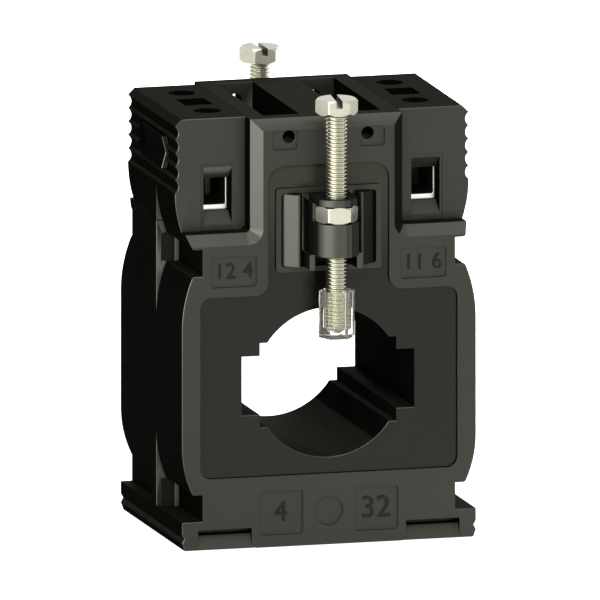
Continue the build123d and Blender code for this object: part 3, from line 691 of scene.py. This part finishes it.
class TRANSFORMER_OT_holders(bpy.types.Operator):
    """Finish the two screw holders"""
    bl_idname = "transformer.holders"
    bl_label = "Screw Holders"

    def execute(self, context):
        edge_mm = context.scene.transformer_casing.edge / MM
        # Black acetal, moulded: satin and a little waxy, with a soft light along its round barrel.
        satin = grained("moulded_black_acetal", linear("#1b1c18"), spread=0.08, roughness=0.36,
                        grain_mm=0.4, bump_mm=0.004, edge_mm=edge_mm,
                        Specular_IOR_Level=0.8, Specular_Tint=SHEEN)
        # Painted shade: the same acetal where it turns away from the light, darker and duller in
        # two steps.
        soft = grained("dull_black_acetal", linear("#191a15"), spread=0.08, roughness=0.42,
                       grain_mm=0.4, bump_mm=0.004, edge_mm=edge_mm,
                       Specular_IOR_Level=0.45, Specular_Tint=SHEEN)
        dark = grained("deep_black_acetal", linear("#13140f"), spread=0.08, roughness=0.5,
                       grain_mm=0.4, bump_mm=0.004,
                       Specular_IOR_Level=0.1, Specular_Tint=DULL_SHEEN)
        finishes = (satin, soft, dark)
        # Painted shade: faces out on the cheeks turn dark sooner than the barrel's.
        cheek_x = 4.6 * MM
        sideways, just_turned, half_turned, well_turned = 0.3, -0.05, -0.15, -0.4

        def choose(normal, centre):
            turn = normal.x * normal.y
            far_cheek = turn < just_turned and abs(centre.x) > cheek_x
            if abs(normal.y) < sideways or turn < well_turned or far_cheek:
                return finishes.index(dark)
            return finishes.index(soft if turn < half_turned else satin)

        for end in ENDS:
            dressed(f"{end}_screw_holder", "casing", finishes, choose)
        return {"FINISHED"}


def nickel_finishes(settings):
    """The fixing screws' finishes in the order of their slots."""
    # Nickel-plated steel, cold headed and rolled: bright and warm, with faint drawing marks.
    rolled = grained("nickel_plated_steel", (*settings.nickel, 1.0), spread=0.06, roughness=0.24,
                     grain_mm=0.5, bump_mm=0.003, patch_mm=2.0, edge_mm=0.12, Metallic=1.0)
    # The same on the head's top: a darker, duller grey against the flats.
    top = grained("die_marked_nickel", linear("#83827a"), spread=0.1, roughness=0.4,
                  grain_mm=0.5, bump_mm=0.004, patch_mm=1.5, edge_mm=0.12, Metallic=1.0)
    # Painted shade: the same in the sawn slot, in a darker colour, with saw marks.
    slot = grained("sawn_nickel", linear("#55544b"), spread=0.2, roughness=0.45,
                   grain_mm=0.3, bump_mm=0.006, patch_mm=1.0, Metallic=1.0)
    # The same on the head's pressed flats: satin, so they keep light from all round.
    hex_flat = grained("pressed_nickel", linear("#b6b5a5"), spread=0.06, roughness=0.5,
                       grain_mm=0.5, bump_mm=0.003, patch_mm=2.0, edge_mm=0.12, Metallic=1.0)
    return rolled, top, slot, hex_flat


def head_finish(neck_z, top_z, half_slot):
    """How the faces of a fixing screw get their finish, whose head is between neck_z and top_z."""

    low_z, rim_z = neck_z + 0.1 * MM, top_z - 0.05 * MM

    def choose(normal, centre):
        if centre.z < low_z:
            return ROLLED
        # The slot runs from front to rear, so its own faces don't look that way.
        if centre.z < rim_z and abs(centre.x) < half_slot and abs(normal.y) < MOSTLY:
            return SLOT
        if normal.z > LEVEL:
            return TOP
        return HEX_FLAT if abs(normal.z) < UPWARD else ROLLED

    return choose


class TRANSFORMER_OT_fixing_screws(bpy.types.Operator):
    """Make the two long fixing screws with their threads, and finish their nuts"""
    bl_idname = "transformer.fixing_screws"
    bl_label = "Fixing Screws"

    def execute(self, context):
        settings = context.scene.transformer_screws
        nickel = nickel_finishes(settings)
        for end in ENDS:
            node = f"{end}_fixing_screw"
            top_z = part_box(node)[1].z
            neck_z = top_z - FIXING_HEAD
            choose = head_finish(neck_z, top_z, settings.slot)
            piece = threaded_screw(node, neck_z, M4_RADIUS, settings.core, settings.pitch, nickel,
                                   choose)
            stand_for(piece, node, f"{end}_fixing")
            dressed(f"{end}_nut", "casing", nickel[:1])
        return {"FINISHED"}


class TRANSFORMER_OT_caps(bpy.types.Operator):
    """Make the clear insulating caps on the fixing screws' tips"""
    bl_idname = "transformer.caps"
    bl_label = "Insulating Caps"

    def execute(self, context):
        # Natural polycarbonate, moulded: clear, faintly warm and slightly milky, with edges that
        # bend what is behind them. Its IOR is set below the real 1.58, so that the thread inside
        # still shows through the walls.
        material, tree, shader, place = new_material("clear_polycarbonate")
        haze = add(tree, "ShaderNodeTexNoise", {"Scale": per_mm(2.0)}, {"Vector": place})
        gloss = add(tree, "ShaderNodeMapRange", {"To Min": 0.0, "To Max": 0.03},
                    {"Value": haze.outputs["Fac"]})
        relief = add(tree, "ShaderNodeBump", {"Strength": 1.0, "Distance": 0.004 * MM},
                     {"Height": haze.outputs["Fac"]})
        shader.inputs["Base Color"].default_value = linear("#f6f6e9")
        shader.inputs["Transmission Weight"].default_value = 0.9
        shader.inputs["IOR"].default_value = 1.3
        tree.links.new(gloss.outputs["Result"], shader.inputs["Roughness"])
        tree.links.new(relief.outputs["Normal"], shader.inputs["Normal"])
        for end in ENDS:
            dressed(f"{end}_screw_cap", f"{end}_tip", (material,), width=0.22 * MM)
        return {"FINISHED"}


class TRANSFORMER_OT_clamps(bpy.types.Operator):
    """Finish the four rising cages and make their screws"""
    bl_idname = "transformer.clamps"
    bl_label = "Wire Clamps"

    def execute(self, context):
        settings = context.scene.transformer_screws
        # Zinc-plated steel strip, blue passivated: cool grey and softly bright.
        zinc = grained("zinc_plated_steel", linear("#d9dcd6"), spread=0.08, roughness=0.3,
                       grain_mm=0.4, bump_mm=0.003, patch_mm=2.0, Metallic=1.0)
        # Painted shade: the same steel on every face that doesn't look forward or back, nearly
        # black, as the cage's inside lies in shade.
        inside = grained("greased_steel", linear("#2b2b27"), spread=0.2, roughness=0.6,
                         grain_mm=0.5, bump_mm=0.006, patch_mm=1.5, Metallic=1.0)
        # Painted shade: steel screws in a dark, dull colour that stands for the shade down in their
        # access holes.
        black = grained("blackened_steel", linear("#26251f"), spread=0.25, roughness=0.55,
                        grain_mm=0.4, bump_mm=0.004, patch_mm=1.0, Specular_IOR_Level=0.25)
        finishes = (zinc, inside)

        # Only faces that look forward or back keep the bright zinc; the rest get the painted shade.
        def choose(normal, _centre):
            return finishes.index(zinc if abs(normal.y) > MOSTLY else inside)

        for place in (f"{side}_{end}" for side in SIDES for end in ENDS):
            dressed(f"{place}_cage", f"{place}_clamp", finishes, choose,
                    width=0.06 * MM)
            node = f"{place}_clamp_screw"
            piece = threaded_screw(node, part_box(node)[1].z - CLAMP_HEAD, M3_RADIUS,
                                   settings.clamp_core, settings.clamp_pitch, (black,))
            stand_for(piece, node, f"{place}_screw")
        return {"FINISHED"}


class TRANSFORMER_OT_bars(bpy.types.Operator):
    """Finish the two terminal bars"""
    bl_idname = "transformer.bars"
    bl_label = "Terminal Bars"

    def execute(self, context):
        # Nickel-plated brass strip, punched and bent: warm and a little dull, with rolling marks.
        brass = grained("nickel_plated_brass", linear("#8f8b7c"), spread=0.1, roughness=0.42,
                        grain_mm=0.5, bump_mm=0.003, patch_mm=2.0, Metallic=1.0)
        for side in SIDES:
            dressed(f"{side}_terminal_bar", "casing", (brass,),
                    width=0.08 * MM)
        return {"FINISHED"}


class TRANSFORMER_OT_ring(bpy.types.Operator):
    """Finish the wound ring inside: core, wrap, winding, tape and leads"""
    bl_idname = "transformer.ring"
    bl_label = "Wound Ring"

    def execute(self, context):
        # Cold-rolled silicon steel strip, wound: grey, with the strip's fine edges on its faces.
        finish_node("ring_core", grained(
            "wound_silicon_steel", linear("#8b8d90"), spread=0.12, roughness=0.42,
            grain_mm=0.3, bump_mm=0.01, patch_mm=2.0, Metallic=1.0))
        # Polyester film, wrapped: pale, glossy and slightly uneven.
        finish_node("core_wrap", grained(
            "polyester_film", linear("#ddd6b4"), spread=0.05, roughness=0.28,
            grain_mm=4.0, bump_mm=0.05))
        # Enamelled copper wire, wound: deep orange brown with a varnished gloss.
        finish_node("secondary_winding", grained(
            "enamelled_copper", linear("#a4562c"), spread=0.12, roughness=0.3,
            grain_mm=0.6, bump_mm=0.03, patch_mm=3.0, Metallic=1.0))
        # Yellow polyester tape, wound on in overlapping turns: smooth with a soft gloss.
        finish_node("winding_tape", grained(
            "polyester_tape", linear("#dcb13c"), spread=0.07, roughness=0.32,
            grain_mm=5.0, bump_mm=0.06))
        # Red insulated copper wire: smooth soft plastic.
        sleeve = grained("soft_red_insulation", linear("#8e211b"), spread=0.06, roughness=0.4,
                         grain_mm=0.5, bump_mm=0.004)
        for side in SIDES:
            finish_node(f"{side}_lead", sleeve)
        return {"FINISHED"}


def number_mesh(text, height, relief):
    """A raised number as a mesh object, flat at the origin."""
    curve = bpy.data.curves.new("number", "FONT")
    curve.body = text
    curve.size = height / 0.7  # a digit is about 0.7 of the font's size high
    curve.align_x = "CENTER"
    curve.align_y = "CENTER"
    curve.extrude = relief / 2
    # A fine rounded rim, on strokes that are drawn in to stay thin.
    curve.bevel_depth = 0.03 * MM
    curve.offset = -0.06 * MM
    return evaluated("number", linked("number", curve))


class TRANSFORMER_OT_numbers(bpy.types.Operator):
    """Raise plain numbers in the marking recesses of both faces"""
    bl_idname = "transformer.numbers"
    bl_label = "Numbers"

    def execute(self, context):
        settings = context.scene.transformer_numbers
        # The numbers are part of the mould, left coarse: deep black on the greyer face.
        raised = grained("raised_black_polycarbonate", linear("#12130f"), spread=0.08,
                         roughness=0.6, grain_mm=0.25, bump_mm=0.004, Specular_IOR_Level=0.25)
        sunk = 0.04 * MM
        middle_y = FACE_Y + MARK_DEPTH - settings.relief / 2 + sunk
        upright = Matrix.Rotation(pi / 2, 4, "X")
        for end, turn in zip(ENDS, (0.0, pi)):
            shell = bmesh.new()
            for name, (x, z, height) in NUMBER_PLACES.items():
                number = number_mesh(getattr(settings, name), height * MM, settings.relief)
                place = Matrix.Translation((x * MM, middle_y, z * MM)) @ upright
                number.data.transform(Matrix.Rotation(turn, 4, "Z") @ place)
                shell.from_mesh(number.data)
                bpy.data.objects.remove(number)
            bmesh.ops.remove_doubles(shell, verts=shell.verts, dist=TOUCH)
            bmesh.ops.recalc_face_normals(shell, faces=shell.faces)
            piece = finished(f"{end}_numbers", shell, (raised,))
            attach(piece, "casing")
        return {"FINISHED"}


def seen_ray(tree):
    """Whether a ray comes from the camera, from a gloss or through something clear."""
    path = add(tree, "ShaderNodeLightPath")
    near = add(tree, "ShaderNodeMath", operation="MAXIMUM",
               links={0: path.outputs["Is Camera Ray"], 1: path.outputs["Is Glossy Ray"]})
    seen = add(tree, "ShaderNodeMath", operation="MAXIMUM",
               links={0: near.outputs[0], 1: path.outputs["Is Transmission Ray"]})
    return seen.outputs[0]


def stage_world(scene, fill):
    """A white backdrop all round, and a little even light."""
    world = bpy.data.worlds.new("studio")
    scene.world = world
    world.use_nodes = True
    tree = world.node_tree
    tree.nodes.clear()
    seen = seen_ray(tree)
    white = add(tree, "ShaderNodeBackground", {"Color": (1, 1, 1, 1), "Strength": 1.0})
    dim = add(tree, "ShaderNodeBackground", {"Color": (1, 1, 1, 1), "Strength": fill})
    mix = add(tree, "ShaderNodeMixShader",
              links={0: seen, 1: dim.outputs[0], 2: white.outputs[0]})
    add(tree, "ShaderNodeOutputWorld", links={"Surface": mix.outputs[0]})


def stage_floor():
    """A pale floor that keeps the shadow."""
    reach, floor_z = 3.0, -0.1 * MM
    mesh = bpy.data.meshes.new("floor")
    corners = [(x * reach, y * reach, floor_z) for x, y in ((-1, -1), (1, -1), (1, 1), (-1, 1))]
    mesh.from_pydata(corners, [], [(0, 1, 2, 3)])
    floor = linked("floor", mesh)
    material = bpy.data.materials.new("pale_floor")
    material.use_nodes = True
    tree = material.node_tree
    tree.nodes.clear()
    # White paper backdrop: matt, and lit just up to white round the shadow.
    paper = add(tree, "ShaderNodeBsdfDiffuse", {"Color": linear("#dcdcda")})
    glow = add(tree, "ShaderNodeEmission", {"Color": (1, 1, 1, 1)}, {"Strength": seen_ray(tree)})
    half = add(tree, "ShaderNodeMixShader", {0: 0.5}, {1: paper.outputs[0], 2: glow.outputs[0]})
    both = add(tree, "ShaderNodeAddShader", links={0: half.outputs[0]})
    tree.links.new(half.outputs[0], both.inputs[1])
    add(tree, "ShaderNodeOutputMaterial", links={"Surface": both.outputs[0]})
    mesh.materials.append(material)


def soft_light(name, power, place, size, unseen_by):
    """A soft rectangular light that points at the transformer and is left out of some rays."""
    light = bpy.data.lights.new(name, "AREA")
    light.shape = "RECTANGLE"
    light.size, light.size_y = size
    light.energy = power
    lamp = linked(name, light)
    middle = Vector((0, 0, 40.0 * MM))
    lamp.location = place
    lamp.rotation_euler = (Vector(place) - middle).to_track_quat("Z", "Y").to_euler()
    for rays in ("camera", *unseen_by):
        setattr(lamp, f"visible_{rays}", False)


def add_camera(scene):
    """A camera without perspective, as a very long lens sees: from the left and a little above."""
    camera = bpy.data.cameras.new("camera")
    camera.type = "ORTHO"
    camera.ortho_scale = VIEW_WIDTH
    camera.clip_end = 10.0
    viewer = linked("camera", camera)
    viewer.location = VIEW_CENTRE + VIEW_FROM * VIEW_DISTANCE
    viewer.rotation_euler = VIEW_FROM.to_track_quat("Z", "Y").to_euler()
    scene.camera = viewer


class TRANSFORMER_OT_stage(bpy.types.Operator):
    """Set up the floor, the soft lights and the camera"""
    bl_idname = "transformer.stage"
    bl_label = "Stage"

    def execute(self, context):
        settings = context.scene.transformer_studio
        scene = context.scene
        scene.view_settings.view_transform = "Standard"
        stage_world(scene, settings.fill)
        stage_floor()
        key, left, right = settings.key, settings.left, settings.right
        # Name, power, place, size, and the rays that don't see the light: the left and the top one
        # only shine as gloss, and the right one only as matt light.
        lamps = (
            ("key", key, (-0.25, -0.6, 0.55), (0.5, 0.5), ()),
            ("left", left, (-0.25, -0.18, 0.08), (0.3, 0.24), ("diffuse",)),
            ("top", left * 0.4, (-0.05, -0.08, 0.45), (0.3, 0.2), ("diffuse",)),
            ("right", right, (0.42, 0.44, 0.15), (0.3, 0.25), ("glossy",)),
            ("back", key * 0.4, (0.2, 0.55, 0.5), (0.4, 0.4), ()),
        )
        for lamp in lamps:
            soft_light(*lamp)
        add_camera(scene)
        return {"FINISHED"}


class TRANSFORMER_PT_panel(bpy.types.Panel):
    """The current transformer's pieces and settings"""
    bl_idname = "TRANSFORMER_PT_panel"
    bl_label = "Current Transformer"
    bl_space_type = "VIEW_3D"
    bl_region_type = "UI"
    bl_category = "Transformer"

    def draw(self, context):
        for name, kind in SETTINGS.items():
            box = self.layout.box()
            box.label(text=kind.__doc__)
            for prop in kind.__annotations__:
                box.prop(getattr(context.scene, name), prop)
        for operator in OPERATORS:
            self.layout.operator(operator.bl_idname)


SETTINGS = {
    "transformer_casing": CasingSettings,
    "transformer_screws": ScrewSettings,
    "transformer_numbers": NumberSettings,
    "transformer_studio": StudioSettings,
}
OPERATORS = (
    TRANSFORMER_OT_casing,
    TRANSFORMER_OT_covers,
    TRANSFORMER_OT_holders,
    TRANSFORMER_OT_fixing_screws,
    TRANSFORMER_OT_caps,
    TRANSFORMER_OT_clamps,
    TRANSFORMER_OT_bars,
    TRANSFORMER_OT_ring,
    TRANSFORMER_OT_numbers,
    TRANSFORMER_OT_stage,
)


def register():
    """Register the settings, the operators and the panel."""
    for kind in (*SETTINGS.values(), *OPERATORS, TRANSFORMER_PT_panel):
        bpy.utils.register_class(kind)
    for name, kind in SETTINGS.items():
        setattr(bpy.types.Scene, name, PointerProperty(type=kind))


def unregister():
    """Take them all away again."""
    for name in SETTINGS:
        delattr(bpy.types.Scene, name)
    for kind in (TRANSFORMER_PT_panel, *reversed(OPERATORS), *reversed(SETTINGS.values())):
        bpy.utils.unregister_class(kind)


def main():
    """Build every piece and the studio in order."""
    register()
    bpy.ops.transformer.casing()
    bpy.ops.transformer.covers()
    bpy.ops.transformer.holders()
    bpy.ops.transformer.fixing_screws()
    bpy.ops.transformer.caps()
    bpy.ops.transformer.clamps()
    bpy.ops.transformer.bars()
    bpy.ops.transformer.ring()
    bpy.ops.transformer.numbers()
    bpy.ops.transformer.stage()


if __name__ == "__main__":
    main()
